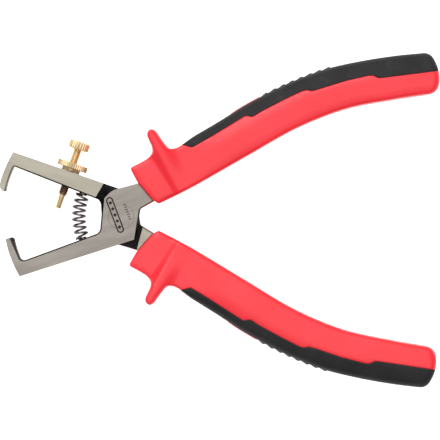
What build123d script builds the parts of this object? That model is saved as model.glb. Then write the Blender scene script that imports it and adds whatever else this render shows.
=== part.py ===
from build123d import *
import os
from math import atan2, cos, radians, sin, sqrt

# Adjustable end wire stripper, 160 mm long when closed.
#
# Frame of the whole tool: the pivot axis is the Z axis, +Z points to the front face of the head
# and z = 0 is the back face.  +X points to the handles.  The tool rests open, as its spring holds it.
#
# Frame of one lever: the lever lies as it does in the closed tool, with its handle along +X and its
# jaw arm along -X, below the long axis.  Its local z = 0 is the middle of the head.  The back lever
# uses the same drawing, turned over about the long axis.

# ---- driving dimensions, millimetres and degrees ----
REST_ANGLE = 16.0          # each lever away from its closed place
HEAD_THICKNESS = 9.0
HALF = HEAD_THICKNESS / 2
LAP_GAP = 0.1              # between the two joint plates
RIVET_RADIUS = 3.5
RIVET_HEAD_RADIUS = 4.4
RIVET_SINK = 1.3           # depth of the countersunk rivet heads
RUNNING_FIT = 0.05

ARM_OUTER = (-8.83, 0.0428)    # edge line of the jaw arm: y at the pivot, slope
ARM_INNER = (-2.65, 0.0833)
TANG_OUTER_Y = 9.47
PLATE_CORNER = (-4.6, 6.9)
JAW_CROTCH = (-8.4, ARM_INNER[0] - 8.4 * ARM_INNER[1])
HANDLE_CROTCH = (7.03, 0.85)
PLATE_TOE = (2.7, -8.72)

INNER_BLADE = (37.4, 40.25)    # radii of the two faces of the front lever's blade
OUTER_BLADE = (40.5, 43.0)     # the back lever's blade slides outside it
BLADE_TIP_Y = 3.1
NOTCH_DEPTH = 3.2
BLADE_BEVEL = ((-38.75, BLADE_TIP_Y), (-37.5, -5.2))    # where the ground bevel meets the faces
BEVEL_WIDTH = 2.5
BEVEL_DEPTH = 3.7
BEVEL_LENGTH = 8.3
INNER_BREAK = 0.45         # bevel along the inner edges of the levers

STAMP_DEPTH = 0.15
STAMP_CENTRE = (-1.85, 1.1)
STAMP_TURN = -84.6
STAMP_LENGTH = 12.9
STAMP_WIDTH = 2.4
STAMP_LINE = 0.4
DIAMOND_COUNT = 5
DIAMOND_PITCH = 2.2
DIAMOND_SIDE = 0.9
TICKS_CENTRE = (2.5, 1.0)
TICK_COUNT = 7
TICK_PITCH = 0.85
TICK_LENGTH = 0.8

SCREW_X = -21.2            # where the screw crosses the arm
SCREW_RADIUS = 1.5         # M3
SCREW_PITCH = 0.5
THREAD_DEPTH = 0.27
POINT_RADIUS = 1.02
POINT_BREAK = 0.2
THREAD_END = 8.2           # below the outer face of the arm
SCREW_TIP = 13.2
HEAD_UNDERSIDE = 8.0       # above the outer face of the arm
HEAD_HEIGHT = 2.9
HEAD_RADIUS = 3.55
HEAD_SOCKET = 1.4          # how far the stem goes into the head
NUT_SEAT = 0.05            # lock nut above the arm's face
NUT_COLLAR_RADIUS = 3.6
NUT_COLLAR = 1.2
NUT_RADIUS = 5.3
NUT_FLANGE = 1.95

SPRING_X = -14.8           # spring seats along the arm
SPRING_RADIUS = 2.08       # to the middle of the wire
WIRE_RADIUS = 0.37
SPRING_TURNS = 8
SPRING_LIFT = 0.75         # end of the centre line above the arm's face
SEAT_PIN_RADIUS = 1.35
SEAT_PIN_HEIGHT = 0.6
SEAT_PIN_SINK = 2.4

GRIP_HALF = 8.5            # half thickness of the grip
GUARD_HALF = 9.8
GRIP_ROUND = 3.0
GUARD_ROUND = 1.0
TANG_HALF = 3.6            # half thickness of the tang inside the grip
RIB_COUNT = 8
RIB_START = 27.5           # along the spine
RIB_PITCH = 3.3
RIB_RADIUS = 1.0
RIB_HEIGHT = 0.35
RIB_HALF = 4.8
CUT = 60.0                 # longer than anything that is cut


def lever_plane(side):
    """Plane of one lever at rest: side is +1 for the front lever and -1 for the back lever."""
    turn = radians(REST_ANGLE) * side
    return Plane(origin=(0, 0, HALF), x_dir=(cos(turn), sin(turn), 0), z_dir=(0, 0, side))


def on_line(edge, x):
    """Point of an arm's edge line at x."""
    return (x, edge[0] + edge[1] * x)


def on_line_and_circle(edge, radius):
    """Point on the jaw side where an arm's edge line crosses a circle about the pivot."""
    start, slope = edge
    steep = 1 + slope ** 2
    return on_line(edge, -(start * slope + sqrt(steep * radius ** 2 - start ** 2)) / steep)


def on_circle(radius, y):
    """Point on the jaw side of a circle about the pivot."""
    return (-sqrt(radius ** 2 - y ** 2), y)


def blade_arc(radius, first, last):
    """Arc about the pivot between two points of a blade."""
    return ThreePointArc(first, on_circle(radius, (first[1] + last[1]) / 2), last)


def round_corner(sketch, point, radius):
    """Round the corner of a flat outline that lies nearest to a point of the sketch."""
    corner = sketch.vertices().sort_by_distance((point[0], point[1], 0))[0]
    fillet(corner, radius=radius)


def lever_profile(plane, blade, tip_bevel, root_round):
    """Flat outline of a lever, from its hooked blade to the end of its tang."""
    inner, outer = blade
    heel = on_line_and_circle(ARM_OUTER, outer)
    root = on_line_and_circle(ARM_INNER, inner)
    outer_tip = on_circle(outer, BLADE_TIP_Y)
    inner_tip = on_circle(inner, BLADE_TIP_Y)
    with BuildSketch(plane) as profile:
        with BuildLine():
            blade_arc(outer, heel, outer_tip)
            Line(outer_tip, inner_tip)
            blade_arc(inner, inner_tip, root)
            Polyline(root, JAW_CROTCH, PLATE_CORNER)
            ThreePointArc(PLATE_CORNER, (-2.75, 8.3), (0, TANG_OUTER_Y))
            Line((0, TANG_OUTER_Y), (10, TANG_OUTER_Y))
            Spline((10, TANG_OUTER_Y), (30, 13.6), (50, 18.6), (70, 21.8), (90, 22.2))
            ThreePointArc((90, 22.2), (91.8, 20.4), (90, 18.6))
            Spline((90, 18.6), (70, 17.0), (50, 12.9), (30, 7.4), (13, 2.35))
            Polyline((13, 2.35), HANDLE_CROTCH, PLATE_TOE, heel)
        make_face()
        round_corner(profile, JAW_CROTCH, 2.4)
        round_corner(profile, HANDLE_CROTCH, 1.2)
        round_corner(profile, root, root_round)
        chamfer(profile.vertices().sort_by_distance((*outer_tip, 0))[0], length=tip_bevel)
    return profile.sketch


def lap_recess(plane):
    """Outline of the half-depth recess that takes the other lever's joint plate."""
    with BuildSketch(plane.offset(LAP_GAP / 2)) as recess:
        with BuildLine():
            Polyline((-8.36, -11.4), (-11.4, 0.7), (-11.4, 13), (8.47, 13), (8.05, -1), (8.05, -11.4),
                     close=True)
        make_face()
    return recess.sketch


def blade_notch(plane):
    """Triangle of the V notch in a blade's tip edge, on a plane that faces along the arm."""
    local = Plane(origin=(-CUT, BLADE_TIP_Y, 0), x_dir=(0, 0, 1), z_dir=(1, 0, 0))
    with BuildSketch(Plane(plane.location * local.location)) as notch:
        with BuildLine():
            Polyline((-NOTCH_DEPTH, 0), (0, NOTCH_DEPTH), (NOTCH_DEPTH, 0), close=True)
        make_face()
    return notch.sketch


def blade_bevel(plane, side):
    """Wedge over the ground inner side of a blade, on a plane across the start of the bevel."""
    start, end = (plane.from_local_coords((x, y, side * HALF)) for x, y in BLADE_BEVEL)
    across = Plane(origin=start, x_dir=plane.z_dir * side, z_dir=end - start)
    with BuildSketch(across) as wedge:
        with BuildLine():
            Polyline((0, 0), (0, -side * BEVEL_WIDTH), (-BEVEL_DEPTH, -side * BEVEL_WIDTH), close=True)
        make_face()
    return wedge.sketch


def tang_relief(plane, side):
    """Outline over the thinner tang, which starts just before the mouth of the grip."""
    with BuildSketch(plane.offset(side * TANG_HALF)) as relief:
        with BuildLine():
            Polyline((6.51, 14), (13.99, -2), (100, -2), (100, 30), (6.51, 30), close=True)
        make_face()
    return relief.sketch


def stamped_marks(plane):
    """Plain ornament stamped in the front face: a row of diamonds in a rounded frame, and a row of ticks."""
    with BuildSketch(plane.offset(HALF)) as marks:
        with Locations(Location(STAMP_CENTRE, STAMP_TURN)):
            SlotOverall(STAMP_LENGTH, STAMP_WIDTH)
            SlotOverall(STAMP_LENGTH - 2 * STAMP_LINE, STAMP_WIDTH - 2 * STAMP_LINE, mode=Mode.SUBTRACT)
            with GridLocations(DIAMOND_PITCH, 1, DIAMOND_COUNT, 1):
                Rectangle(DIAMOND_SIDE, DIAMOND_SIDE, rotation=45)
        with Locations(Location(TICKS_CENTRE, STAMP_TURN)):
            with GridLocations(TICK_PITCH, 1, TICK_COUNT, 1):
                Rectangle(STAMP_LINE, TICK_LENGTH)
    return marks.sketch


def rivet_profile(fit):
    """Half section of the flush rivet, countersunk into both head faces, with a clearance."""
    waist = RIVET_RADIUS + fit
    rim = RIVET_HEAD_RADIUS + fit
    with BuildSketch(Plane.XZ) as section:
        with BuildLine():
            Polyline(
                (0, 0),
                (rim, 0),
                (waist, RIVET_SINK),
                (waist, HEAD_THICKNESS - RIVET_SINK),
                (rim, HEAD_THICKNESS),
                (0, HEAD_THICKNESS),
                close=True,
            )
        make_face()
    return section.sketch


def across_arm(plane, edge, x, height):
    """Plane across a peg that stands on an edge line of the arm, facing away from the metal."""
    slant = atan2(edge[1], 1)
    side = -1 if edge is ARM_OUTER else 1
    outward = Vector(-side * sin(slant), side * cos(slant), 0)
    foot = Vector(*on_line(edge, x), 0) + outward * height
    local = Plane(origin=foot, x_dir=(0, 0, 1), z_dir=outward)
    return Plane(plane.location * local.location)


def disc(plane, radius):
    """Flat circle on a plane."""
    with BuildSketch(plane) as circle:
        Circle(radius)
    return circle.sketch


def near(part, plane, *points):
    """Edges of a part that lie nearest to points of the lever frame."""
    return [part.edges().sort_by_distance(plane.from_local_coords(point))[0] for point in points]


front_plane = lever_plane(1)
back_plane = lever_plane(-1)

# One point on each chain of inner edges: jaw side and handle side, front face and back face.
INNER_EDGES = [
    (*on_line(ARM_INNER, -25), HALF),
    (4.9, -4, HALF),
    (*on_line(ARM_INNER, -25), -HALF),
    (10, 1.5, -HALF),
]

# ---- levers: forged steel, joined by a lap joint ----
with BuildPart() as front_lever:
    extrude(lever_profile(front_plane, INNER_BLADE, 0.2, 1.5), amount=HALF, both=True)
    extrude(lap_recess(front_plane), amount=-CUT, mode=Mode.SUBTRACT)
    extrude(tang_relief(front_plane, 1), amount=CUT, mode=Mode.SUBTRACT)
    extrude(tang_relief(front_plane, -1), amount=-CUT, mode=Mode.SUBTRACT)
    chamfer(near(front_lever, front_plane, *INNER_EDGES), length=INNER_BREAK)
    extrude(blade_notch(front_plane), amount=CUT / 2, mode=Mode.SUBTRACT)
    extrude(blade_bevel(front_plane, 1), amount=BEVEL_LENGTH, mode=Mode.SUBTRACT)
    extrude(blade_bevel(front_plane, -1), amount=BEVEL_LENGTH, mode=Mode.SUBTRACT)
    revolve(rivet_profile(0), axis=Axis.Z, mode=Mode.SUBTRACT)
    extrude(disc(across_arm(front_plane, ARM_INNER, SPRING_X, 0), SEAT_PIN_RADIUS),
            amount=-SEAT_PIN_SINK, mode=Mode.SUBTRACT)
    extrude(stamped_marks(front_plane), amount=-STAMP_DEPTH, mode=Mode.SUBTRACT)

with BuildPart() as back_lever:
    extrude(lever_profile(back_plane, OUTER_BLADE, 1.2, 0.4), amount=HALF, both=True)
    extrude(lap_recess(back_plane), amount=-CUT, mode=Mode.SUBTRACT)
    extrude(tang_relief(back_plane, 1), amount=CUT, mode=Mode.SUBTRACT)
    extrude(tang_relief(back_plane, -1), amount=-CUT, mode=Mode.SUBTRACT)
    chamfer(near(back_lever, back_plane, *INNER_EDGES), length=INNER_BREAK)
    extrude(blade_notch(back_plane), amount=CUT / 2, mode=Mode.SUBTRACT)
    revolve(rivet_profile(RUNNING_FIT), axis=Axis.Z, mode=Mode.SUBTRACT)
    extrude(disc(across_arm(back_plane, ARM_INNER, SPRING_X, 0), SEAT_PIN_RADIUS),
            amount=-SEAT_PIN_SINK, mode=Mode.SUBTRACT)
    extrude(disc(across_arm(back_plane, ARM_OUTER, SCREW_X, 1), SCREW_RADIUS + RUNNING_FIT),
            amount=-CUT / 6, mode=Mode.SUBTRACT)

with BuildPart() as pivot_rivet:
    revolve(rivet_profile(0), axis=Axis.Z)
    extrude(stamped_marks(front_plane), amount=-STAMP_DEPTH, mode=Mode.SUBTRACT)

# ---- spring and its seats ----
with BuildPart() as upper_spring_pin:
    extrude(disc(across_arm(back_plane, ARM_INNER, SPRING_X, -SEAT_PIN_SINK), SEAT_PIN_RADIUS),
            amount=SEAT_PIN_SINK + SEAT_PIN_HEIGHT)
    chamfer(upper_spring_pin.edges().sort_by(Axis.Y)[0], length=0.3)

with BuildPart() as lower_spring_pin:
    extrude(disc(across_arm(front_plane, ARM_INNER, SPRING_X, -SEAT_PIN_SINK), SEAT_PIN_RADIUS),
            amount=SEAT_PIN_SINK + SEAT_PIN_HEIGHT)
    chamfer(lower_spring_pin.edges().sort_by(Axis.Y)[-1], length=0.3)


def spring_sides():
    """Outermost points of the coils, alternating between the jaw side and the pivot side."""
    lower_seat = front_plane.from_local_coords((*on_line(ARM_INNER, SPRING_X), 0))
    splay = radians(REST_ANGLE) + atan2(ARM_INNER[1], 1)
    bow = -lower_seat.Y / sin(splay)
    centre_x = lower_seat.X + bow * cos(splay)
    reach = splay - SPRING_LIFT / bow
    points = []
    for step in range(2 * SPRING_TURNS + 1):
        angle = reach * (step / SPRING_TURNS - 1)
        radius = bow + (SPRING_RADIUS if step % 2 else -SPRING_RADIUS)
        points.append(Vector(centre_x - radius * cos(angle), radius * sin(angle), HALF))
    return points


# Each half coil is half a circle that starts and ends square to the tool, so the wire stays smooth.
sides = spring_sides()
with BuildPart() as opening_spring:
    with BuildLine() as wire_path:
        for index, (first, last) in enumerate(zip(sides, sides[1:])):
            rise = Vector(0, 0, (last - first).length / 2)
            middle = (first + last) * 0.5 + (rise * -1 if index % 2 else rise)
            ThreePointArc(first, middle, last)
    with BuildSketch(Plane(origin=sides[0], z_dir=(0, 0, 1))):
        Circle(WIRE_RADIUS)
    sweep()

# ---- adjusting screw, its head and its lock nut ----
screw_seat = across_arm(back_plane, ARM_OUTER, SCREW_X, 0)
screw_side = Plane(origin=screw_seat.origin, x_dir=screw_seat.x_dir, z_dir=screw_seat.y_dir * -1)
thread_turns = int((HEAD_UNDERSIDE + THREAD_END) / SCREW_PITCH) - 1
stem_top = HEAD_UNDERSIDE + HEAD_SOCKET

with BuildPart() as adjusting_screw:
    with BuildSketch(screw_side):
        with BuildLine():
            thread = []
            for turn in range(thread_turns):
                groove = -THREAD_END + turn * SCREW_PITCH
                thread += [(SCREW_RADIUS - THREAD_DEPTH, groove), (SCREW_RADIUS, groove + SCREW_PITCH / 2)]
            Polyline(
                (0, -SCREW_TIP),
                (POINT_RADIUS - POINT_BREAK, -SCREW_TIP),
                (POINT_RADIUS, -SCREW_TIP + POINT_BREAK),
                (POINT_RADIUS, -THREAD_END),
                *thread,
                (SCREW_RADIUS, stem_top),
                (0, stem_top),
                close=True,
            )
        make_face()
    revolve(axis=Axis(screw_seat.origin, screw_seat.z_dir))

with BuildPart() as screw_head:
    extrude(disc(across_arm(back_plane, ARM_OUTER, SCREW_X, HEAD_UNDERSIDE), HEAD_RADIUS), amount=HEAD_HEIGHT)
    extrude(disc(across_arm(back_plane, ARM_OUTER, SCREW_X, HEAD_UNDERSIDE), SCREW_RADIUS),
            amount=HEAD_SOCKET, mode=Mode.SUBTRACT)

with BuildPart() as lock_nut:
    extrude(disc(across_arm(back_plane, ARM_OUTER, SCREW_X, NUT_SEAT), NUT_COLLAR_RADIUS), amount=NUT_COLLAR)
    extrude(disc(across_arm(back_plane, ARM_OUTER, SCREW_X, NUT_SEAT + NUT_COLLAR), NUT_RADIUS), amount=NUT_FLANGE)
    extrude(disc(across_arm(back_plane, ARM_OUTER, SCREW_X, 0), SCREW_RADIUS + RUNNING_FIT),
            amount=CUT / 6, mode=Mode.SUBTRACT)

# ---- two-component grips ----
SPINE = Spline(
    (31.7, 20.08), (40.9, 22.6), (52.6, 25.96), (66.2, 28.72),
    (80, 30.15), (92, 29.72), (104.4, 28.36), (116.6, 26.3),
)
INNER_SIDE = Spline(
    (13.8, 0.95), (27, 3.5), (47.6, 8.75), (66, 13.3), (83.6, 15.17), (100.3, 14.0), (115.3, 12.2)
)


def grip_profile(plane):
    """Flat outline of a grip without its finger guard."""
    with BuildSketch(plane) as profile:
        with BuildLine():
            add(INNER_SIDE)
            ThreePointArc((115.3, 12.2), (118.0, 19.2), (116.6, 26.3))
            add(SPINE)
            Polyline((31.7, 20.08), (25.4, 17.6), (7.5, 15.4), (8.9, 9.85), (12.1, 3.0), (13.8, 0.95))
        make_face()
        round_corner(profile, (115.3, 12.2), 2.5)
        round_corner(profile, (116.6, 26.3), 2.0)
        round_corner(profile, (7.5, 15.4), 1.2)
        round_corner(profile, (13.8, 0.95), 1.5)
    return profile.sketch


def guard_profile(plane):
    """Flat outline of the finger guard: a ridge across the grip that ends in a horn."""
    with BuildSketch(plane) as profile:
        with BuildLine():
            Polyline((19.4, 3.0), (15.6, 16.2), (16.2, 18.6), (15.95, 24.3))
            ThreePointArc((15.95, 24.3), (17.75, 26.05), (19.45, 24.3))
            Polyline((19.45, 24.3), (20.9, 19.4), (23.0, 17.2), (24.2, 4.2), (19.4, 3.0))
        make_face()
        for corner, radius in (((19.4, 3.0), 1.5), ((24.2, 4.2), 1.5), ((16.2, 18.6), 2.0), ((20.9, 19.4), 3.0)):
            round_corner(profile, corner, radius)
    return profile.sketch


def insert_region(plane):
    """Outline of the outer side of the grip, where the soft plastic widens in three steps."""
    with BuildSketch(plane) as region:
        with BuildLine():
            Polyline(
                (26.3, 19.0), (27.1, 18.45), (30.7, 16.5), (37.6, 18.36), (46.9, 21.0), (49.9, 21.5),
                (53.3, 21.1), (64.75, 23.8), (71.45, 24.85), (75.5, 24.05), (86.2, 24.35), (94.6, 23.9),
                (98.4, 22.1), (106.5, 20.9), (125, 18.5), (125, 40), (26.3, 40),
                close=True,
            )
        make_face()
    return region.sketch


def rib_profile(plane):
    """Row of round ribs on the spine of the grip."""
    centres = []
    for index in range(RIB_COUNT):
        along = RIB_START + index * RIB_PITCH
        spot = SPINE.position_at(along, position_mode=PositionMode.LENGTH)
        run = SPINE.tangent_at(along, position_mode=PositionMode.LENGTH)
        centres.append(spot + Vector(run.Y, -run.X) * (RIB_RADIUS - RIB_HEIGHT))
    with BuildSketch(plane) as ribs:
        with Locations(*centres):
            Circle(RIB_RADIUS)
    return ribs.sketch


def guard_blank(plane):
    """Finger guard with rounded rims."""
    with BuildPart() as guard:
        extrude(guard_profile(plane), amount=GUARD_HALF, both=True)
        fillet(guard.faces().filter_by(Axis.Z).edges(), radius=GUARD_ROUND)
    return guard.part


def grip_blank(plane):
    """Whole grip as one solid, before it is divided into its two plastics."""
    with BuildPart() as blank:
        extrude(grip_profile(plane), amount=GRIP_HALF, both=True)
        fillet(blank.faces().filter_by(Axis.Z).edges(), radius=GRIP_ROUND)
        add(guard_blank(plane))
    return blank.part


with BuildPart() as upper_grip_body:
    add(grip_blank(front_plane))
    extrude(insert_region(front_plane), amount=CUT, both=True, mode=Mode.SUBTRACT)
    add(front_lever.part, mode=Mode.SUBTRACT)

with BuildPart() as upper_grip_insert:
    add(grip_blank(front_plane))
    extrude(rib_profile(front_plane), amount=RIB_HALF, both=True)
    extrude(insert_region(front_plane), amount=CUT, both=True, mode=Mode.INTERSECT)

with BuildPart() as lower_grip_body:
    add(grip_blank(back_plane))
    extrude(insert_region(back_plane), amount=CUT, both=True, mode=Mode.SUBTRACT)
    add(back_lever.part, mode=Mode.SUBTRACT)

with BuildPart() as lower_grip_insert:
    add(grip_blank(back_plane))
    extrude(rib_profile(back_plane), amount=RIB_HALF, both=True)
    extrude(insert_region(back_plane), amount=CUT, both=True, mode=Mode.INTERSECT)

# ---- export, one file for each piece ----
pieces = {
    "front_lever": front_lever,
    "back_lever": back_lever,
    "pivot_rivet": pivot_rivet,
    "opening_spring": opening_spring,
    "upper_spring_pin": upper_spring_pin,
    "lower_spring_pin": lower_spring_pin,
    "adjusting_screw": adjusting_screw,
    "screw_head": screw_head,
    "lock_nut": lock_nut,
    "upper_grip_body": upper_grip_body,
    "upper_grip_insert": upper_grip_insert,
    "lower_grip_body": lower_grip_body,
    "lower_grip_insert": lower_grip_insert,
}
os.makedirs("parts", exist_ok=True)
for name, piece in pieces.items():
    piece.part.label = name
    export_step(piece.part, f"parts/{name}.step")
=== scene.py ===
import math

import bmesh
import bpy
import numpy as np
from mathutils import Matrix, Vector
from mathutils.geometry import delaunay_2d_cdt


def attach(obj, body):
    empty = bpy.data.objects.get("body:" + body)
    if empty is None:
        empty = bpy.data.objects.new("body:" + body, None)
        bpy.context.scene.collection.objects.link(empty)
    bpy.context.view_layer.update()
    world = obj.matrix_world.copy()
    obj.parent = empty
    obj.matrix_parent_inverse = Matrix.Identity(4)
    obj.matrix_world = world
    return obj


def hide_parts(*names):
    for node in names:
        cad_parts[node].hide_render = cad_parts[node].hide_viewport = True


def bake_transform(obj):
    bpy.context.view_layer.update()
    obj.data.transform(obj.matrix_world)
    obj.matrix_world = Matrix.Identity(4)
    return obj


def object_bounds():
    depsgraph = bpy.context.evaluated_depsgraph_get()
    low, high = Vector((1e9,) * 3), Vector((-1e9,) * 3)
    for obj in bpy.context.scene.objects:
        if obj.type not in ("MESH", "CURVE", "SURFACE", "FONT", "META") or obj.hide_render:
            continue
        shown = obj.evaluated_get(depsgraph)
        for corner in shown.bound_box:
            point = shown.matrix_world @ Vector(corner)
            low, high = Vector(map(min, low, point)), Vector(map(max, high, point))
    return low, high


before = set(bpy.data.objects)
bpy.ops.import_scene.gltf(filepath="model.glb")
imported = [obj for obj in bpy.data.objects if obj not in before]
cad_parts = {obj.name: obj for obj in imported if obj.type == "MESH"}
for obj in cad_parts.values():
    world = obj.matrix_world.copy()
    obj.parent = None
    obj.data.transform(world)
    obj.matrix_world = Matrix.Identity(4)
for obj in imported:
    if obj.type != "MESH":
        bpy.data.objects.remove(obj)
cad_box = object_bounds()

# Lengths are worked out in millimetres and scaled when a mesh is built.
MM = 0.001
REST_ANGLE = math.radians(16)    # each lever away from its closed place
HEAD_MIDDLE = 4.5                # half the head's thickness
TURN = 2 * math.pi


def lever_matrix(side):
    """Lever frame to row frame, in millimetres: side is +1 for the front lever and -1 for the back lever."""
    turned = Matrix.Translation((0, 0, HEAD_MIDDLE)) @ Matrix.Rotation(side * REST_ANGLE, 4, "Z")
    return turned if side > 0 else turned @ Matrix.Rotation(math.pi, 4, "X")


# ---- mesh helpers ----

def build_piece(name, points, faces, matrix, sharp=(), cavity=None, materials=()):
    """Mesh object from points in millimetres in a local frame; sharp lists vertex pairs of hard edges."""
    bm = bmesh.new()
    layer = bm.verts.layers.float.new("cavity")
    verts = [bm.verts.new(MM * (matrix @ Vector(point))) for point in points]
    if cavity is not None:
        for vert, depth in zip(verts, cavity):
            vert[layer] = depth
    for corners in faces:
        bm.faces.new([verts[corner] for corner in corners]).smooth = True
    for first, last in sharp:
        edge = bm.edges.get((verts[first], verts[last]))
        if edge is not None:
            edge.smooth = False
    mesh = bpy.data.meshes.new(name)
    bm.to_mesh(mesh)
    bm.free()
    piece = bpy.data.objects.new(name, mesh)
    bpy.context.scene.collection.objects.link(piece)
    for material in materials:
        mesh.materials.append(material)
    return piece


def lathe_faces(rows, columns, closed_ends=True):
    """Faces of a grid of rows that close round an axis, with fans of one face at both ends."""
    faces = []
    for row in range(rows - 1):
        for column in range(columns):
            a = row * columns + column
            b = row * columns + (column + 1) % columns
            faces.append((a, b, b + columns, a + columns))
    if closed_ends:
        faces.append(tuple(reversed(range(columns))))
        faces.append(tuple(range((rows - 1) * columns, rows * columns)))
    return faces


def smooth_curve(points, step):
    """Points about every step along a smooth curve through the given points."""
    given = np.array(points, float)
    ends = np.vstack([2 * given[0] - given[1], given, 2 * given[-1] - given[-2]])
    found = []
    for a, b, c, d in zip(ends, ends[1:], ends[2:], ends[3:]):
        count = max(2, int(math.ceil(np.linalg.norm(c - b) / step)))
        t = np.linspace(0, 1, count, endpoint=False)[:, None]
        bend = (2 * a - 5 * b + 4 * c - d) * t**2
        twist = (3 * b - a - 3 * c + d) * t**3
        found.append(0.5 * (2 * b + (c - a) * t + bend + twist))
    return np.vstack([*found, given[-1:]])


def soften_corner(path, corner, reach):
    """The path with the corner nearest to a point replaced by an arc that starts and ends reach away."""
    at = int(np.argmin(np.linalg.norm(path - np.array(corner), axis=1)))
    path = np.roll(path, len(path) // 2 - at, axis=0)
    at = len(path) // 2
    away = np.linalg.norm(path - path[at], axis=1)
    first = at
    while away[first] < reach:
        first -= 1
    last = at
    while away[last] < reach:
        last += 1
    t = np.linspace(0, 1, 9)[:, None]
    arc = path[first] * (1 - t) ** 2 + 2 * path[at] * t * (1 - t) + path[last] * t**2
    return np.vstack([path[:first], arc, path[last + 1:]])


def resample(path, step, closed):
    """Points at even steps along a path."""
    if closed:
        path = np.vstack([path, path[:1]])
    run = np.concatenate([[0], np.cumsum(np.linalg.norm(np.diff(path, axis=0), axis=1))])
    count = int(round(run[-1] / step))
    at = np.linspace(0, run[-1], count + 1)
    found = np.column_stack([np.interp(at, run, path[:, 0]), np.interp(at, run, path[:, 1])])
    return found[:-1] if closed else found


def distance_to(points, path, closed=False):
    """Distance of each point to a path, and the path's nearest point as a fractional index."""
    first = path if closed else path[:-1]
    last = np.roll(path, -1, axis=0) if closed else path[1:]
    run = last - first
    best = np.full(len(points), 1e9)
    where = np.zeros(len(points))
    for index in range(len(first)):
        offset = points - first[index]
        share = np.clip(offset @ run[index] / max(run[index] @ run[index], 1e-12), 0, 1)
        gap = np.linalg.norm(offset - share[:, None] * run[index], axis=1)
        closer = gap < best
        best[closer] = gap[closer]
        where[closer] = index + share[closer]
    return best, where


def inside(points, polygon):
    """True for the points that lie in a polygon."""
    found = np.zeros(len(points), bool)
    for a, b in zip(polygon, np.roll(polygon, -1, axis=0)):
        crosses = (a[1] > points[:, 1]) != (b[1] > points[:, 1])
        rise = b[1] - a[1] if abs(b[1] - a[1]) > 1e-12 else 1e-12
        found ^= crosses & (points[:, 0] < (b[0] - a[0]) * (points[:, 1] - a[1]) / rise + a[0])
    return found


def ramp(value, low, high):
    """Smooth step from 0 at low to 1 at high."""
    share = np.clip((value - low) / (high - low), 0, 1)
    return share * share * (3 - 2 * share)


# ---- node helpers ----

class Shader:
    """A material's node tree with short calls for the nodes it uses."""

    def __init__(self, name):
        self.material = bpy.data.materials.new(name)
        self.material.use_nodes = True
        self.tree = self.material.node_tree
        self.surface = self.tree.nodes["Principled BSDF"]
        self.place = self.node("ShaderNodeTexCoord").outputs["Object"]

    def node(self, kind, **settings):
        made = self.tree.nodes.new(kind)
        for key, value in settings.items():
            setattr(made, key, value)
        return made

    def feed(self, source, socket):
        if isinstance(source, bpy.types.NodeSocket):
            self.tree.links.new(source, socket)
        else:
            socket.default_value = source

    def math(self, operation, *values, clamp=False):
        made = self.node("ShaderNodeMath", operation=operation, use_clamp=clamp)
        for value, socket in zip(values, made.inputs):
            self.feed(value, socket)
        return made.outputs[0]

    def remap(self, value, low, high, to_low=0.0, to_high=1.0):
        made = self.node("ShaderNodeMapRange", interpolation_type="SMOOTHSTEP")
        for source, socket in zip((value, low, high, to_low, to_high), made.inputs):
            self.feed(source, socket)
        return made.outputs[0]

    def mix(self, share, first, last):
        made = self.node("ShaderNodeMix", data_type="RGBA")
        self.feed(share, made.inputs["Factor"])
        for value, socket in ((first, made.inputs[6]), (last, made.inputs[7])):
            self.feed(value if isinstance(value, bpy.types.NodeSocket) else (*value, 1), socket)
        return made.outputs[2]

    def noise(self, scale, stretch=(1, 1, 1), detail=3.0, roughness=0.5, place=None):
        mapping = self.node("ShaderNodeMapping")
        mapping.inputs["Scale"].default_value = stretch
        self.feed(place or self.place, mapping.inputs["Vector"])
        made = self.node("ShaderNodeTexNoise")
        self.feed(mapping.outputs[0], made.inputs["Vector"])
        made.inputs["Scale"].default_value = scale
        made.inputs["Detail"].default_value = detail
        made.inputs["Roughness"].default_value = roughness
        return made.outputs["Fac"]

    def bump(self, height, strength, distance, normal=None):
        made = self.node("ShaderNodeBump")
        made.inputs["Strength"].default_value = strength
        made.inputs["Distance"].default_value = distance
        self.feed(height, made.inputs["Height"])
        if normal is not None:
            self.feed(normal, made.inputs["Normal"])
        return made.outputs[0]

    def set(self, **values):
        for key, value in values.items():
            self.feed(value, self.surface.inputs[key.replace("_", " ")])


RECESS_BAND = 0.5        # flat faces this near to the head's middle plane are dark recess floors
STAMP_LOW = 4.28         # heights over the middle plane that hold the floors of the stamped marks
STAMP_HIGH = 4.44
BLADE_X = -36            # walls beyond this, on the blades, are a little less dark
GROUND_RADIUS = 39.9     # walls further than this from the pivot are ground bright
GROUND_Y = 9.0           # and so are walls further out than this on the grip's side


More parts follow.
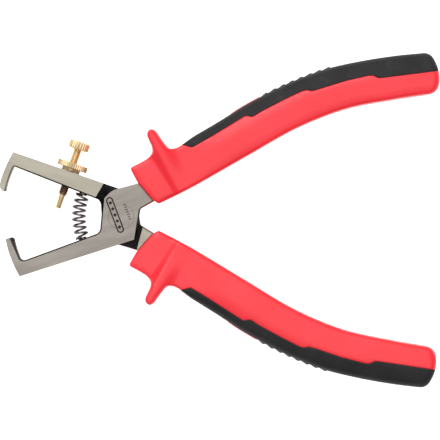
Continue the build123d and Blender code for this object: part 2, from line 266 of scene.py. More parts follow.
def steel_material(name, side, bright, dull):
    """Ground forged steel: streaked bright faces, and dark scale on the walls and recess floors."""
    steel = Shader(name)
    turned = steel.node("ShaderNodeVectorRotate", rotation_type="Z_AXIS")
    turned.inputs["Angle"].default_value = -side * REST_ANGLE
    steel.feed(steel.place, turned.inputs["Vector"])
    local = turned.outputs[0]
    split = steel.node("ShaderNodeSeparateXYZ")
    steel.feed(local, split.inputs[0])
    x, y, z = split.outputs
    y = steel.math("MULTIPLY", y, side)
    height = steel.math("MULTIPLY", steel.math("SUBTRACT", z, HEAD_MIDDLE * MM), side)

    coordinates = steel.node("ShaderNodeTexCoord")
    facing = steel.node("ShaderNodeVectorRotate", rotation_type="Z_AXIS")
    facing.inputs["Angle"].default_value = -side * REST_ANGLE
    steel.feed(coordinates.outputs["Normal"], facing.inputs["Vector"])
    facing_split = steel.node("ShaderNodeSeparateXYZ")
    steel.feed(facing.outputs[0], facing_split.inputs[0])
    facing_y = steel.math("MULTIPLY", facing_split.outputs[1], side)
    flat = steel.math("ABSOLUTE", facing_split.outputs[2])

    wall = steel.remap(flat, 0.93, 0.80)
    low = steel.math("LESS_THAN", steel.math("ABSOLUTE", height), RECESS_BAND * MM)
    floor = steel.math("MULTIPLY", low, steel.math("SUBTRACT", 1.0, wall))
    radius = steel.math("SQRT", steel.math("ADD", steel.math("MULTIPLY", x, x), steel.math("MULTIPLY", y, y)))
    ground_wall = steel.math("MAXIMUM", steel.math("LESS_THAN", facing_y, -0.5),
                             steel.math("GREATER_THAN", radius, GROUND_RADIUS * MM))
    ground_wall = steel.math("MAXIMUM", ground_wall, steel.math("GREATER_THAN", y, GROUND_Y * MM))
    scale_wall = steel.math("MULTIPLY", wall, steel.math("SUBTRACT", 1.0, ground_wall))
    blade_wall = steel.math("MULTIPLY", steel.math("LESS_THAN", x, BLADE_X * MM), 0.2)
    scale_wall = steel.math("MULTIPLY", scale_wall, steel.math("SUBTRACT", 1.0, blade_wall))
    dark = steel.math("MAXIMUM", scale_wall, floor)
    groove = steel.math("MULTIPLY", steel.math("GREATER_THAN", height, STAMP_LOW * MM),
                        steel.math("LESS_THAN", height, STAMP_HIGH * MM))
    groove = steel.math("MULTIPLY", groove, steel.remap(x, 0.4 * MM, 1.0 * MM, 0.9, 0.5))
    dark = steel.math("MAXIMUM", dark, groove, clamp=True)

    streaks = steel.noise(1.0, (90, 2600, 2600), detail=4, place=local)
    broad = steel.noise(1.0, (45, 260, 260), detail=3, place=local)
    pits = steel.noise(3800, detail=2, roughness=0.6)
    blotches = steel.noise(130, detail=4)
    shine = steel.mix(steel.remap(broad, 0.3, 0.7), dull, bright)
    scratch = steel.remap(streaks, 0.56, 0.72)
    shine = steel.mix(steel.math("MULTIPLY", scratch, 0.35), shine, tuple(1.3 * part for part in bright))
    shine = steel.mix(steel.math("MULTIPLY", steel.remap(pits, 0.62, 0.72), 0.5), shine,
                      tuple(0.55 * part for part in dull))
    scale_colour = steel.mix(steel.remap(blotches, 0.35, 0.65), (0.004, 0.004, 0.004), (0.024, 0.022, 0.022))

    soft_normal = steel.node("ShaderNodeBevel", samples=6)
    soft_normal.inputs["Radius"].default_value = 0.16 * MM
    geometry = steel.node("ShaderNodeNewGeometry")
    turned_by = steel.node("ShaderNodeVectorMath", operation="DOT_PRODUCT")
    steel.feed(soft_normal.outputs[0], turned_by.inputs[0])
    steel.feed(geometry.outputs["Normal"], turned_by.inputs[1])
    # Edges are lightened in colour, patchy with the blotches: partly worn bright metal, partly a painted
    # highlight along the edges.
    edge_wear_and_highlight_mask = steel.remap(turned_by.outputs["Value"], 0.985, 0.93)
    edge = steel.math("MULTIPLY", edge_wear_and_highlight_mask, steel.remap(blotches, 0.3, 0.6))
    dark = steel.math("MULTIPLY", dark, steel.math("SUBTRACT", 1.0, steel.math("MULTIPLY", edge, 0.35)))
    shine = steel.mix(steel.math("MULTIPLY", edge, 0.5), shine, tuple(1.5 * part for part in bright))

    rough = steel.math("ADD", 0.36, steel.math("MULTIPLY", streaks, 0.16))
    rough = steel.math("ADD", rough, steel.math("MULTIPLY", dark, 0.12))
    relief = steel.math("ADD", steel.math("MULTIPLY", streaks, 0.6), steel.math("MULTIPLY", pits, 0.4))
    steel.set(Base_Color=steel.mix(dark, shine, scale_colour),
              Metallic=1.0,
              Roughness=rough,
              Normal=steel.bump(relief, 0.18, 0.03 * MM, soft_normal.outputs[0]))
    return steel.material


def wire_material():
    """Drawn spring wire with fine lengthwise marks."""
    wire = Shader("spring_wire")
    mottle = wire.noise(700, detail=3)
    wire.set(Base_Color=wire.mix(wire.remap(mottle, 0.3, 0.7), (0.10, 0.09, 0.09), (0.25, 0.23, 0.23)),
             Metallic=1.0,
             Roughness=wire.math("ADD", 0.2, wire.math("MULTIPLY", mottle, 0.2)),
             Normal=wire.bump(wire.noise(4200, detail=2), 0.12, 0.02 * MM))
    return wire.material


def brass_material():
    """Turned brass: bright tips, brown in the valleys of the thread and the knurl, partly dirt and partly
    painted shade.
    """
    brass = Shader("turned_brass")
    cavity = brass.node("ShaderNodeAttribute", attribute_name="cavity").outputs["Fac"]
    mottle = brass.noise(420, detail=4)
    fine = brass.noise(3200, detail=2)
    bright = brass.mix(brass.remap(mottle, 0.3, 0.7), (0.95, 0.69, 0.38), (1.0, 0.81, 0.49))
    # The cavity value darkens the brass towards brown: partly dirt in the hollows, partly painted shade in
    # the valleys, the bore, the collar and along the stem.
    dirt_and_painted_shade = brass.math("MULTIPLY", cavity, brass.remap(mottle, 0.1, 0.7, 0.75, 1.0), clamp=True)
    brass.set(Base_Color=brass.mix(dirt_and_painted_shade, bright, (0.115, 0.032, 0.010)),
              Metallic=1.0,
              Roughness=brass.math("ADD", brass.math("MULTIPLY", mottle, 0.16),
                                   brass.math("ADD", 0.26, brass.math("MULTIPLY", dirt_and_painted_shade, 0.20))),
              Normal=brass.bump(fine, 0.10, 0.02 * MM))
    return brass.material


def plastic_material():
    """Hard glossy red plastic with a faint orange peel and handling marks."""
    plastic = Shader("red_plastic")
    cloud = plastic.noise(70, detail=3)
    peel = plastic.noise(1500, detail=2)
    scuffs = plastic.remap(plastic.noise(1.0, (160, 1500, 900), detail=4), 0.60, 0.74)
    red = plastic.mix(plastic.remap(cloud, 0.3, 0.7), (0.87, 0.014, 0.026), (0.92, 0.020, 0.036))
    plastic.set(Base_Color=red,
                Roughness=plastic.math("ADD", plastic.math("MULTIPLY", scuffs, 0.16),
                                       plastic.math("ADD", 0.27, plastic.math("MULTIPLY", cloud, 0.10))),
                Specular_IOR_Level=0.5,
                Normal=plastic.bump(peel, 0.05, 0.05 * MM))
    return plastic.material


def rubber_material():
    """Soft black grip plastic with a fine leathery grain."""
    rubber = Shader("black_rubber")
    grain = rubber.noise(2300, detail=3, roughness=0.6)
    cloud = rubber.noise(90, detail=3)
    rubbed = rubber.remap(rubber.noise(300, detail=4), 0.55, 0.75)
    black = rubber.mix(rubber.remap(cloud, 0.3, 0.7), (0.007, 0.006, 0.006), (0.014, 0.013, 0.014))
    rubber.set(Base_Color=black,
               Roughness=rubber.math("SUBTRACT", 0.62, rubber.math("MULTIPLY", rubbed, 0.16)),
               Specular_IOR_Level=0.32,
               Normal=rubber.bump(grain, 0.30, 0.05 * MM))
    return rubber.material


# One steel in two copies: the front lever's darker, pinker colours and the back lever's brighter, warmer ones
# are a painted reflection difference, not a difference in the metal.
front_steel_painted_darker = steel_material("front_steel_painted_darker", 1, (0.273, 0.249, 0.223), (0.223, 0.203, 0.183))
back_steel_painted_brighter = steel_material("back_steel_painted_brighter", -1, (0.345, 0.321, 0.267), (0.287, 0.264, 0.217))
spring_wire = wire_material()
brass = brass_material()
red_plastic = plastic_material()
black_rubber = rubber_material()

# ---- CAD nodes that stay: levers, rivet and the spring's seat pins ----
for node, material in (
    ("front_lever", front_steel_painted_darker),
    ("pivot_rivet", front_steel_painted_darker),
    ("lower_spring_pin", front_steel_painted_darker),
    ("back_lever", back_steel_painted_brighter),
    ("upper_spring_pin", back_steel_painted_brighter),
):
    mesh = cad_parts[node].data
    mesh.materials.clear()
    mesh.materials.append(material)

# ---- opening spring: seven open turns and two short ground ends round a bowed centre line ----
BOW_CENTRE = 7.43
BOW_RADIUS = 22.0
COIL_RADIUS = 2.08
WIRE_RADIUS = 0.37
OPEN_TURNS = 7
OPEN_REACH = math.radians(18.75)     # centre line angle of the first and last open turn
END_REACH = math.radians(19.6)       # where the ground end turns lie on the arms
STEPS_PER_TURN = 40
WIRE_SIDES = 12


def spring_point(turns):
    """Middle of the wire after a number of turns from the lower end."""
    if turns < 0.5:
        angle = -END_REACH + (END_REACH - OPEN_REACH) * turns / 0.5
    elif turns > OPEN_TURNS + 0.5:
        angle = OPEN_REACH + (END_REACH - OPEN_REACH) * (turns - OPEN_TURNS - 0.5) / 0.5
    else:
        angle = -OPEN_REACH + 2 * OPEN_REACH * (turns - 0.5) / OPEN_TURNS
    round_coil = math.pi - TURN * turns
    reach = BOW_RADIUS + COIL_RADIUS * math.cos(round_coil)
    return Vector((BOW_CENTRE - reach * math.cos(angle), reach * math.sin(angle),
                   HEAD_MIDDLE + COIL_RADIUS * math.sin(round_coil)))


def tube(middles, radius, sides):
    """Points and faces of a round wire along a line of middles."""
    points = []
    normal = Vector((0, 0, 1))
    for index, middle in enumerate(middles):
        run = (middles[min(index + 1, len(middles) - 1)] - middles[max(index - 1, 0)]).normalized()
        normal = (normal - run * normal.dot(run)).normalized()
        across = run.cross(normal)
        for side in range(sides):
            angle = TURN * side / sides
            points.append(middle + radius * (math.cos(angle) * normal + math.sin(angle) * across))
    return points, lathe_faces(len(middles), sides)


first_step = STEPS_PER_TURN // 4    # the ground ends are a quarter turn shorter
last_step = (OPEN_TURNS + 1) * STEPS_PER_TURN - first_step
wire_middles = [spring_point(step / STEPS_PER_TURN) for step in range(first_step, last_step + 1)]
points, faces = tube(wire_middles, WIRE_RADIUS, WIRE_SIDES)
spring = build_piece("opening_spring_wire", points, faces, Matrix.Identity(4), materials=[spring_wire])
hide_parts("opening_spring")
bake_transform(spring)

# ---- adjusting screw, head and lock nut, along the axis that leaves the back lever's arm ----
ARM_OUTER_START = -8.83
ARM_OUTER_SLOPE = 0.0428
SCREW_X = -21.2
slant = math.atan(ARM_OUTER_SLOPE)
outward = Vector((math.sin(slant), -math.cos(slant), 0))
seat = Matrix.Translation((SCREW_X, ARM_OUTER_START + ARM_OUTER_SLOPE * SCREW_X, 0))
seat_axes = Matrix((Vector((0, 0, 1)), outward.cross(Vector((0, 0, 1))), outward)).transposed().to_4x4()
screw_matrix = lever_matrix(-1) @ seat @ seat_axes

STEM_RADIUS = 1.5
PITCH = 0.5
THREAD_DEPTH = 0.27
THREAD_END = 8.2
SCREW_TIP = 13.2
POINT_RADIUS = 1.02
HEAD_UNDERSIDE = 8.0
HEAD_HEIGHT = 2.9
HEAD_RADIUS = 3.55
NUT_SEAT = 0.05
COLLAR_HEIGHT = 1.2
FLANGE_HEIGHT = 1.95
FLANGE_RADIUS = 5.3
BORE_RADIUS = 1.55
KNURL_DEPTH = 0.18
HEAD_TEETH = 28
FLANGE_TEETH = 46


def rows_to_points(rows):
    """Points of a lathe grid from rows of (height, radius of each column)."""
    points = []
    for height, radii in rows:
        for column, radius in enumerate(radii):
            angle = TURN * column / len(radii)
            points.append((radius * math.cos(angle), radius * math.sin(angle), height))
    return points


def threaded_stem():
    """Screw stem: dog point, helical thread and run-out, with the depth of each point in the thread, used as
    painted shade.
    """
    columns = 40
    rows = [(-SCREW_TIP, [0.62 * POINT_RADIUS] * columns), (-SCREW_TIP, [0.66 * POINT_RADIUS] * columns),
            (-SCREW_TIP + 0.28, [POINT_RADIUS] * columns), (-THREAD_END - 0.25, [POINT_RADIUS] * columns)]
    depths = [[0.0] * columns, [0.0] * columns, [0.0] * columns, [0.3] * columns]
    height = -THREAD_END
    while height < HEAD_UNDERSIDE + 0.5:
        radii = []
        row_depths = []
        start = min(1.0, (height + THREAD_END) / PITCH)
        for column in range(columns):
            phase = (height / PITCH - column / columns) % 1.0
            depth = min(1.0, 1.25 * abs(2 * phase - 1))
            radii.append((STEM_RADIUS - THREAD_DEPTH * depth) * start + (POINT_RADIUS + 0.12) * (1 - start))
            row_depths.append(depth)
        rows.append((height, radii))
        depths.append(row_depths)
        height += PITCH / 9
    shade = []
    for (height, _), row_depths in zip(rows, depths):
        # Painted shade: the stretch of stem between 4.2 and 8.3 mm under the seat is darkened as if in
        # shadow, and its thread valleys more so.
        shaded_stretch = 1.0 if -THREAD_END - 0.1 < height < -4.2 else 0.0
        shade += [min(1.0, depth * (0.45 + 0.55 * shaded_stretch) + 0.62 * shaded_stretch) for depth in row_depths]
    return rows_to_points(rows), lathe_faces(len(rows), columns), shade


def bore_faces(rows, columns):
    """Faces that join the last row of a lathe grid to its first."""
    last = (rows - 1) * columns
    return [(last + column, last + (column + 1) % columns, (column + 1) % columns, column)
            for column in range(columns)]


def knurled(profile, teeth, depth, columns_per_tooth=6, bore=None):
    """Turned disc with straight knurling, from rows of (height, radius, share of the knurl's depth)."""
    columns = teeth * columns_per_tooth
    rows = []
    shade = []
    for height, radius, share in profile:
        radii = []
        for column in range(columns):
            phase = (column / columns_per_tooth) % 1.0
            valley = 1 - abs(2 * phase - 1) ** 1.3
            radii.append(radius - depth * share * valley)
            # Painted shade in the knurl valleys, partly dirt.
            shade.append(0.42 * valley * share)
        rows.append((height, radii))
    if bore is not None:
        rows = [(rows[0][0], [bore] * columns), *rows, (rows[-1][0], [bore] * columns)]
        # Painted shade inside the bore.
        shade = [0.4] * columns + shade + [0.4] * columns
    faces = lathe_faces(len(rows), columns, closed_ends=bore is None)
    if bore is not None:
        faces += bore_faces(len(rows), columns)
    return rows_to_points(rows), faces, shade


points, faces, shade = threaded_stem()
stem = build_piece("adjusting_screw_stem", points, faces, screw_matrix, cavity=shade, materials=[brass])
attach(stem, "screw_stem")
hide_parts("adjusting_screw")

head_top = HEAD_UNDERSIDE + HEAD_HEIGHT
head_profile = [
    (HEAD_UNDERSIDE, 1.9, 0),
    (HEAD_UNDERSIDE, HEAD_RADIUS - 0.42, 0),
    (HEAD_UNDERSIDE + 0.08, HEAD_RADIUS - 0.3, 0.1),
    (HEAD_UNDERSIDE + 0.35, HEAD_RADIUS, 1),
    (head_top - 0.35, HEAD_RADIUS, 1),
    (head_top - 0.08, HEAD_RADIUS - 0.3, 0.1),
    (head_top, HEAD_RADIUS - 0.42, 0),
    (head_top, 2.3, 0),
    (head_top - 0.12, 2.15, 0),
    (head_top - 0.12, 0.9, 0),
    (head_top - 0.06, 0.4, 0),
]
points, faces, shade = knurled(head_profile, HEAD_TEETH, KNURL_DEPTH)
head = build_piece("screw_head_knurled", points, faces, screw_matrix, cavity=shade, materials=[brass])
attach(head, "screw_knob")
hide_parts("screw_head")

flange_foot = NUT_SEAT + COLLAR_HEIGHT
flange_top = flange_foot + FLANGE_HEIGHT
flange_profile = [
    (flange_foot, FLANGE_RADIUS - 0.3, 0),
    (flange_foot + 0.18, FLANGE_RADIUS, 1),
    (flange_top - 0.18, FLANGE_RADIUS, 1),
    (flange_top, FLANGE_RADIUS - 0.3, 0),
    (flange_top, 3.0, 0),
    (flange_top - 0.1, 2.85, 0),
    (flange_top - 0.1, 1.8, 0),
]
points, faces, shade = knurled(flange_profile, FLANGE_TEETH, KNURL_DEPTH, bore=BORE_RADIUS)


def hex_collar():
    """Six-sided collar under the flange, with its corners turned off."""
    columns = 72
    rows = []
    for height, corner, flat in (
        (NUT_SEAT, 3.25, 3.1),
        (NUT_SEAT + 0.2, 3.56, 3.14),
        (flange_foot - 0.1, 3.56, 3.14),
        (flange_foot + 0.05, 3.4, 3.2),
    ):
        radii = []
        for column in range(columns):
            angle = (TURN * column / columns) % (TURN / 6) - TURN / 12
            radii.append(min(corner, flat / math.cos(angle)))
        rows.append((height, radii))
    rows = [(NUT_SEAT, [BORE_RADIUS] * columns), *rows, (flange_foot + 0.05, [BORE_RADIUS] * columns)]
    faces = lathe_faces(len(rows), columns, closed_ends=False) + bore_faces(len(rows), columns)
    # The whole collar gets an even painted shade, as under the flange.
    return rows_to_points(rows), faces, [0.25] * (len(rows) * columns)


collar_points, collar_faces, collar_shade = hex_collar()
base = len(points)
points = points + collar_points
faces = faces + [tuple(base + corner for corner in face) for face in collar_faces]
nut = build_piece("lock_nut_knurled", points, faces, screw_matrix, cavity=shade + collar_shade,
                  materials=[brass])
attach(nut, "nut")
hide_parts("lock_nut")

HARD_EDGE = math.radians(35)
for piece in (head, nut):
    split = piece.modifiers.new("hard_edges", "EDGE_SPLIT")
    split.split_angle = HARD_EDGE

# ---- grips: one outline and thickness, divided into hard red and soft black plastic ----
OUTLINE_STEP = 0.4
GRID_STEP = 0.62
ROW_OFFSETS = (0.05, 0.16, 0.34, 0.6, 0.95, 1.4, 1.95, 2.6)
SEAM_OFFSETS = (0.09, 0.2, 0.42)
SEAM_STEP = 0.34
SEAM_DEPTH = 0.16
WALL_ROWS = 14
GRIP_HALF = 8.5
GUARD_HALF = 10.1
GRIP_THIN = 7.75                 # half thickness of the grip next to the guard
GUARD_FOOT = 8.1
COLLAR_HALF = 6.9
FACE_SINK = 0.35                 # the faces lie this far inside these half thicknesses
SPINE_ROUND = 2.2
INNER_ROUND = 1.0
COLLAR_ROUND = 0.7
SPINE_FALL = 1.5                 # how far the face falls away towards the spine
SPINE_FALL_WIDTH = 7.5
CREASE_FALL = 0.5                # and along the inner side
CREASE_WIDTH = 2.8

COLLAR_HEEL = (7.25, 15.3)       # corners of the outline, in the lever frame
COLLAR_TOE = (13.6, 0.85)
END_TOE = (115.3, 12.2)
END_HEEL = (116.6, 26.3)
CURVE_STEP = 0.3
SPINE = smooth_curve([(31.7, 20.08), (40.9, 22.6), (52.6, 25.96), (66.2, 28.72), (80, 30.15), (92, 29.72),
                      (104.4, 28.36), END_HEEL], CURVE_STEP)
INNER_SIDE = smooth_curve([COLLAR_TOE, (27, 3.5), (47.6, 8.75), (66, 13.3), (83.6, 15.17), (100.3, 14.0),
                           END_TOE], CURVE_STEP)
END_FACE = smooth_curve([END_TOE, (117.2, 15.8), (117.88, 19.6), (117.5, 23.2), END_HEEL], CURVE_STEP)
HORN = smooth_curve([(31.7, 20.08), (29.4, 19.3), (27.1, 18.4), (25.4, 17.8), (23.4, 17.7), (21.8, 18.5),
                     (20.8, 20.7), (20.0, 22.9), (19.35, 24.8), (18.4, 25.9), (17.3, 26.05), (16.4, 25.4),
                     (15.95, 24.2), (16.2, 22.1), (16.5, 20.2), (15.95, 18.2), (14.0, 16.8), (10.6, 15.9),
                     COLLAR_HEEL], CURVE_STEP)
COLLAR_FRONT = resample(np.array([COLLAR_HEEL, (8.6, 9.75), (11.85, 2.85), COLLAR_TOE]),
                        CURVE_STEP, closed=False)
SEAM_POINTS = [(26.5, 18.25), (29.7, 16.3), (37.6, 18.36), (46.9, 21.02), (50.1, 21.95), (51.0, 21.6),
               (51.9, 21.0), (52.7, 21.0), (55.64, 21.9), (64.75, 23.82), (71.2, 24.95), (72.6, 24.9),
               (74.1, 24.05), (75.5, 24.0), (86.22, 24.33), (94.3, 24.0), (95.8, 23.6), (97.1, 22.3),
               (98.6, 22.0), (106.55, 20.86), (125, 18.3)]


def grip_outline():
    """Closed outline of a grip with its collar and horn, anticlockwise from the collar's heel."""
    path = np.vstack([INNER_SIDE[:-1], END_FACE[:-1], SPINE[::-1][:-1], HORN[:-1], COLLAR_FRONT[:-1]])
    for corner, reach in ((END_TOE, 2.6), (END_HEEL, 2.2), (COLLAR_HEEL, 1.0), (COLLAR_TOE, 0.6)):
        path = soften_corner(path, corner, reach)
    return resample(path, OUTLINE_STEP, closed=True)


outline = grip_outline()
runs = np.roll(outline, -1, axis=0) - np.roll(outline, 1, axis=0)
runs /= np.linalg.norm(runs, axis=1)[:, None]
outward_normals = np.column_stack([runs[:, 1], -runs[:, 0]])


def edge_rounding():
    """Radius of the edge round at each outline point: large along the grip, small on the collar and horn."""
    x, y = outline.T
    along_inner, _ = distance_to(outline, INNER_SIDE)
    side_round = np.where(along_inner < 0.3, INNER_ROUND, SPINE_ROUND)
    sides = side_round * ramp(x, 19, 34)
    small = COLLAR_ROUND + 0.5 * ramp(y, 16.5, 20) + 0.5 * ramp(x, 12, 18) * (along_inner < 0.3)
    return np.maximum(sides, small)


ROUNDING_PASSES = 12
rounding = edge_rounding()
for _ in range(ROUNDING_PASSES):
    rounding = (np.roll(rounding, 1) + rounding + np.roll(rounding, -1)) / 3


def seam_line():
    """Boundary between the two plastics, from one side of the outline to the other."""
    line = resample(np.array(SEAM_POINTS, float), SEAM_STEP, closed=False)
    for _ in range(2):
        line[1:-1] = (line[:-2] + 2 * line[1:-1] + line[2:]) / 4
    return line


seam = seam_line()
insert_side = np.vstack([seam, [(130, 50), (23.2, 50), (23.2, 19.6), (25.2, 18.9)]])

RIDGE_FOOT = np.array((22.6, 2.5))
RIDGE_TOP = np.array((18.4, 18.6))


def half_thickness(points, depth, rounding_here):
    """Half thickness of the grip at points of the lever frame that lie depth inside the outline."""
    x = points[:, 0]
    ridge_run = RIDGE_TOP - RIDGE_FOOT
    ridge_length = np.linalg.norm(ridge_run)
    ridge_run = ridge_run / ridge_length
    offset = points - RIDGE_FOOT
    up = np.clip(offset @ ridge_run / ridge_length, 0, 1.5)
    across = offset @ np.array((ridge_run[1], -ridge_run[0]))
    collar = COLLAR_HALF + 0.25 * ramp(x, 8, 15)
    grip = GRIP_THIN + (GRIP_HALF - GRIP_THIN) * ramp(x, 26, 52) - 0.35 * ramp(x, 100, 118)
    crest = GUARD_FOOT + (GUARD_HALF - GUARD_FOOT) * ramp(up, 0.15, 1.3)
    left = ramp(across, -3.5, -0.5)
    right = ramp(across, 0.7, 5.6)
    top = collar + (crest - collar) * left
    top = top + (grip - crest) * right
    crown = 0.35 * ramp(depth, 0, 9) * ramp(x, 30, 45)
    from_spine, _ = distance_to(points, SPINE)
    slope = SPINE_FALL * np.clip(1 - from_spine / SPINE_FALL_WIDTH, 0, 1) ** 1.6 * ramp(x, 27, 40)
    from_inner, _ = distance_to(points, INNER_SIDE)
    crease = CREASE_FALL * np.clip(1 - from_inner / CREASE_WIDTH, 0, 1) * ramp(x, 24, 34)
    lip = 0.22 * ramp(depth, 1.7, 0.6) * (1 - ramp(across, -4.5, -3.0))
    reach = np.clip(depth, 0, rounding_here)
    drop = rounding_here - np.sqrt(np.maximum(rounding_here**2 - (rounding_here - reach) ** 2, 0))
    return top - FACE_SINK + crown - slope - crease - drop - lip


def grip_points():
    """Points of the flat mesh: outline, seam, rows beside both, and a grid between them."""
    outline_index = list(range(len(outline)))
    edges = list(zip(outline_index, outline_index[1:] + outline_index[:1]))
    within = inside(seam, outline)
    gap, _ = distance_to(seam, outline, closed=True)
    kept = seam[within & (gap > 0.12)]
    ends = []
    for end in (kept[0], kept[-1]):
        ends.append(int(np.argmin(np.linalg.norm(outline - end, axis=1))))
    seam_index = list(range(len(outline), len(outline) + len(kept)))
    chain = [ends[0], *seam_index, ends[1]]
    edges += list(zip(chain, chain[1:]))
    divide = np.vstack([outline[ends[0]], kept, outline[ends[1]]])

    rows = [outline - outward_normals * offset for offset in ROW_OFFSETS]
    row_clear = max(0.5, SEAM_OFFSETS[-1] * 1.2)
    seam_runs = np.gradient(divide, axis=0)
    seam_runs /= np.linalg.norm(seam_runs, axis=1)[:, None]
    seam_normals = np.column_stack([-seam_runs[:, 1], seam_runs[:, 0]])
    beside = [divide + side * offset * seam_normals for offset in SEAM_OFFSETS for side in (-1, 1)]
    xs, ys = np.meshgrid(np.arange(6, 120, GRID_STEP), np.arange(0, 32, GRID_STEP))
    ys = ys + GRID_STEP / 2 * (np.arange(xs.shape[1]) % 2)
    grid = np.column_stack([xs.ravel(), ys.ravel()])

    points = [outline, kept]
    for offset, row in zip(ROW_OFFSETS, rows):
        depth, _ = distance_to(row, outline, closed=True)
        from_seam, _ = distance_to(row, divide)
        ok = inside(row, outline) & (depth > 0.93 * offset) & (from_seam > row_clear)
        points.append(row[ok])
    for index, row in enumerate(beside):
        offset = SEAM_OFFSETS[index // 2]
        depth, _ = distance_to(row, outline, closed=True)
        from_seam, _ = distance_to(row, divide)
        points.append(row[inside(row, outline) & (depth > 0.05) & (from_seam > 0.9 * offset)])
    depth, _ = distance_to(grid, outline, closed=True)
    from_seam, _ = distance_to(grid, divide)
    ok = inside(grid, outline) & (depth > ROW_OFFSETS[-1] + 0.4) & (from_seam > SEAM_OFFSETS[-1] + 0.3)
    points.append(grid[ok])
    return np.vstack(points), edges, divide


def grip_surface():
    """Triangles of the grip in plan, the half thickness at each point, and which triangles are the insert."""
    flat, edges, divide = grip_points()
    made = delaunay_2d_cdt([Vector(point) for point in flat], edges, [], 0, 1e-5)
    points = np.array([tuple(point) for point in made[0]])
    triangles = np.array([face for face in made[2] if len(face) == 3])
    centres = points[triangles].mean(axis=1)
    triangles = triangles[inside(centres, outline)]
    centres = points[triangles].mean(axis=1)
    a, b, c = (points[triangles[:, corner]] for corner in range(3))
    area = (b - a)[:, 0] * (c - a)[:, 1] - (b - a)[:, 1] * (c - a)[:, 0]
    triangles[area < 0] = triangles[area < 0][:, ::-1]
    depth, where = distance_to(points, outline, closed=True)
    rounding_here = np.interp(where, np.arange(len(rounding) + 1), np.append(rounding, rounding[0]))
    from_seam, _ = distance_to(points, divide)
    half = half_thickness(points, depth, rounding_here)
    half = half - SEAM_DEPTH * np.exp(-((from_seam / 0.16) ** 2))
    is_insert = inside(centres, insert_side)
    return points, triangles, half, is_insert


RIB_START = 27.5
RIB_PITCH = 3.3
RIB_COUNT = 8
RIB_HEIGHT = 0.42
RIB_HALF = 4.9


def rib_height(along):
    """How far a rib stands out at a distance along the spine: each rises slowly and drops quickly."""
    step = (along - RIB_START + RIB_PITCH / 2) / RIB_PITCH
    share = step % 1.0
    raised = ramp(share, 0.02, 0.72) * (1 - ramp(share, 0.78, 0.98))
    return RIB_HEIGHT * raised * ((step >= 0) & (step < RIB_COUNT))


def spine_distance(points):
    """Distance along the spine of the nearest spine point."""
    run = np.concatenate([[0], np.cumsum(np.linalg.norm(np.diff(SPINE, axis=0), axis=1))])
    gap, where = distance_to(points, SPINE)
    return np.where(gap < 0.4, np.interp(where, np.arange(len(run)), run), -100.0)


def shell(points, triangles, half):
    """Closed solid over a set of plan triangles: both faces, and walls along every open edge."""
    used, index = np.unique(triangles, return_inverse=True)
    triangles = index.reshape(-1, 3)
    plan = points[used]
    height = half[used]
    count = len(plan)
    verts = np.vstack([np.column_stack([plan, height]), np.column_stack([plan, -height])])
    faces = [tuple(triangle) for triangle in triangles]
    faces += [tuple(count + corner for corner in triangle[::-1]) for triangle in triangles]
    seen = {}
    for a, b, c in triangles:
        for edge in ((a, b), (b, c), (c, a)):
            seen[tuple(int(end) for end in edge)] = True
    border = [edge for edge in seen if (edge[1], edge[0]) not in seen]
    gap, _ = distance_to(plan, outline, closed=True)
    on_outline = gap < 1e-3
    columns = {}
    verts = [tuple(vert) for vert in verts]
    rise = np.linspace(1, -1, WALL_ROWS)
    edge_vertices = sorted({end for edge in border for end in edge})
    spots = plan[edge_vertices]
    _, where = distance_to(spots, outline, closed=True)
    normal_index = np.round(where).astype(int) % len(outline)
    ribs = rib_height(spine_distance(spots))
    for vertex, near, rib in zip(edge_vertices, normal_index, ribs):
        column = [vertex]
        for share in rise[1:-1]:
            z = float(height[vertex] * share)
            out = rib * float(ramp(np.array(RIB_HALF - abs(z)), -0.3, 0.7)) if on_outline[vertex] else 0.0
            x, y = plan[vertex] + outward_normals[near] * out
            verts.append((float(x), float(y), z))
            column.append(len(verts) - 1)
        column.append(count + vertex)
        columns[vertex] = column
    sharp = []
    for first, last in border:
        left, right = columns[first], columns[last]
        for row in range(WALL_ROWS - 1):
            faces.append((left[row], left[row + 1], right[row + 1], right[row]))
        if not (on_outline[first] and on_outline[last]):
            sharp += [(first, last), (count + first, count + last)]
    return verts, faces, sharp


WINDOW_START = 14.1
WINDOW_LENGTH = 12.5
WINDOW_PROUD = 0.22
WINDOW_SINK = 0.2
WINDOW_ROUND = 3.0


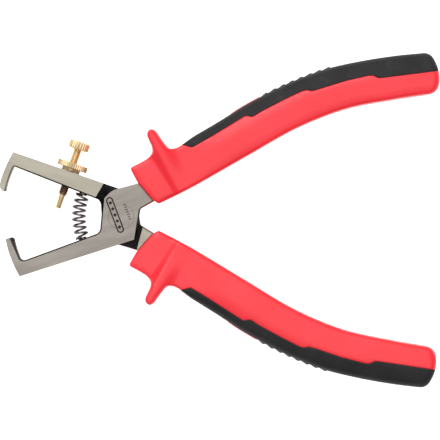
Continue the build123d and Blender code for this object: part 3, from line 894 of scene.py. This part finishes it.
def spine_window():
    """Red patch of the hard plastic that shows through the soft one on the spine, wider at its first end."""
    run = np.concatenate([[0], np.cumsum(np.linalg.norm(np.diff(SPINE, axis=0), axis=1))])
    along_count = 40
    around_count = 27
    verts = []
    for row in range(along_count):
        share = row / (along_count - 1)
        along = WINDOW_START + share * WINDOW_LENGTH
        spot = np.array([np.interp(along, run, SPINE[:, 0]), np.interp(along, run, SPINE[:, 1])])
        ahead = np.array([np.interp(along + 0.2, run, SPINE[:, 0]), np.interp(along + 0.2, run, SPINE[:, 1])])
        tangent = (ahead - spot) / np.linalg.norm(ahead - spot)
        out = np.array([-tangent[1], tangent[0]])
        spot_half = half_thickness(spot[None, :], np.array([0.0]), np.array([WINDOW_ROUND]))[0]
        width = spot_half + 0.55 + 2.6 * float(1 - ramp(np.array(share * WINDOW_LENGTH), 0.2, 2.8))
        end_fade = float(ramp(np.array(share), 0, 0.03) * (1 - ramp(np.array(share), 0.90, 1.0)))
        for column in range(around_count):
            q = (2 * column / (around_count - 1) - 1) * width
            side = abs(2 * column / (around_count - 1) - 1)
            side_fade = float(1 - ramp(np.array(side), 0.93, 1.0))
            proud = (WINDOW_PROUD + WINDOW_SINK) * end_fade * side_fade - WINDOW_SINK
            angle = max(0.0, abs(q) - spot_half) / WINDOW_ROUND
            inward = WINDOW_ROUND * (1 - math.cos(angle)) - proud * math.cos(angle)
            z = min(abs(q), spot_half) + WINDOW_ROUND * math.sin(angle) + proud * math.sin(angle)
            place = spot - out * inward
            verts.append((place[0], place[1], math.copysign(z, q)))
    faces = []
    for row in range(along_count - 1):
        for column in range(around_count - 1):
            a = row * around_count + column
            faces.append((a, a + around_count, a + around_count + 1, a + 1))
    return verts, faces


plan, triangles, half, is_insert = grip_surface()
body_verts, body_faces, body_sharp = shell(plan, triangles[~is_insert], half)
insert_verts, insert_faces, insert_sharp = shell(plan, triangles[is_insert], half)
window_verts, window_faces = spine_window()
base = len(body_verts)
body_verts = body_verts + window_verts
body_faces = body_faces + [tuple(base + corner for corner in face) for face in window_faces]

for grip, side, body in (("upper_grip", 1, "front"), ("lower_grip", -1, "back")):
    matrix = lever_matrix(side)
    red = build_piece(f"{grip}_red", body_verts, body_faces, matrix, sharp=body_sharp,
                      materials=[red_plastic])
    black = build_piece(f"{grip}_black", insert_verts, insert_faces, matrix, sharp=insert_sharp,
                        materials=[black_rubber])
    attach(red, body)
    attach(black, body)
    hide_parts(f"{grip}_body")
    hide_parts(f"{grip}_insert")

# ---- floor, light and camera ----
FLOOR_DROP = 0.00002     # metres, as are all lengths below
FLOOR_RADIUS = 2.5
FLOOR_SIDES = 64


def make_floor():
    """Wide pale studio floor just under the tool."""
    bm = bmesh.new()
    centre = bm.verts.new((0, 0, 0))
    turns = [TURN * step / FLOOR_SIDES for step in range(FLOOR_SIDES)]
    rim = [bm.verts.new((FLOOR_RADIUS * math.cos(turn), FLOOR_RADIUS * math.sin(turn), 0)) for turn in turns]
    for first, last in zip(rim, rim[1:] + rim[:1]):
        bm.faces.new((centre, first, last))
    mesh = bpy.data.meshes.new("studio_floor")
    bm.to_mesh(mesh)
    bm.free()
    floor = bpy.data.objects.new("studio_floor", mesh)
    floor.location.z = cad_box[0].z - FLOOR_DROP
    bpy.context.scene.collection.objects.link(floor)
    paint = Shader("pale_floor")
    tone = paint.noise(3.0, detail=2)
    paint.set(Base_Color=paint.mix(tone, (0.80, 0.80, 0.80), (0.83, 0.83, 0.83)), Roughness=0.9,
              Specular_IOR_Level=0.0, Emission_Color=(1, 1, 1, 1), Emission_Strength=0.80)
    mesh.materials.append(paint.material)


def add_softbox(name, place, aim, size, power):
    """Square area light that points at a spot."""
    light = bpy.data.lights.new(name, "AREA")
    light.shape = "SQUARE"
    light.size = size
    light.energy = power
    lamp = bpy.data.objects.new(name, light)
    lamp.location = place
    lamp.rotation_euler = (Vector(aim) - Vector(place)).to_track_quat("-Z", "Y").to_euler()
    bpy.context.scene.collection.objects.link(lamp)


SKY_LEAN = 0.35    # how much brighter the surroundings are on the +Y side


def make_sky():
    """Studio surroundings: bright overhead, dim near the horizon, plain white where the camera sees them."""
    world = bpy.data.worlds.new("studio")
    bpy.context.scene.world = world
    world.use_nodes = True
    nodes, links = world.node_tree.nodes, world.node_tree.links
    place = nodes.new("ShaderNodeTexCoord")
    split = nodes.new("ShaderNodeSeparateXYZ")
    shade = nodes.new("ShaderNodeValToRGB")
    stops = shade.color_ramp.elements
    stops[0].position, stops[0].color = 0.0, (0.30, 0.30, 0.31, 1)
    stops[1].position, stops[1].color = 0.95, (0.92, 0.92, 0.92, 1)
    middle = stops.new(0.55)
    middle.color = (0.50, 0.50, 0.51, 1)
    path = nodes.new("ShaderNodeLightPath")
    seen = nodes.new("ShaderNodeMix")
    seen.data_type = "RGBA"
    seen.inputs[7].default_value = (0.93, 0.93, 0.93, 1)
    links.new(place.outputs["Generated"], split.inputs[0])
    lean = nodes.new("ShaderNodeMath")
    lean.operation = "MULTIPLY_ADD"
    lean.inputs[1].default_value = SKY_LEAN
    links.new(split.outputs[1], lean.inputs[0])
    links.new(split.outputs[2], lean.inputs[2])
    links.new(lean.outputs[0], shade.inputs[0])
    links.new(shade.outputs[0], seen.inputs[6])
    links.new(path.outputs["Is Camera Ray"], seen.inputs["Factor"])
    links.new(seen.outputs[2], nodes["Background"].inputs["Color"])


make_floor()
make_sky()
target = (0.034, 0, 0.005)
add_softbox("key_light", place=(-0.25, 0.75, 0.95), aim=target, size=0.7, power=5.2)
add_softbox("top_light", place=(0.03, 0.05, 1.75), aim=target, size=1.6, power=7.6)

VIEW_CENTRE = Vector((0.03383, -0.00074))
VIEW_HEIGHT = 1.5
VIEW_TILT = math.radians(0.66)
FRONT_FACE = 0.009
SENSOR_WIDTH = 36        # millimetres
FOCAL_LENGTH = 359
lens = bpy.data.cameras.new("camera")
lens.sensor_width = SENSOR_WIDTH
lens.lens = FOCAL_LENGTH
lens.clip_start = 0.05
lens.clip_end = 20
camera = bpy.data.objects.new("camera", lens)
camera.location = (VIEW_CENTRE.x, VIEW_CENTRE.y, FRONT_FACE + VIEW_HEIGHT)
camera.rotation_euler = (0, 0, VIEW_TILT)
bpy.context.scene.collection.objects.link(camera)
bpy.context.scene.camera = camera
bpy.context.scene.view_settings.view_transform = "Standard"
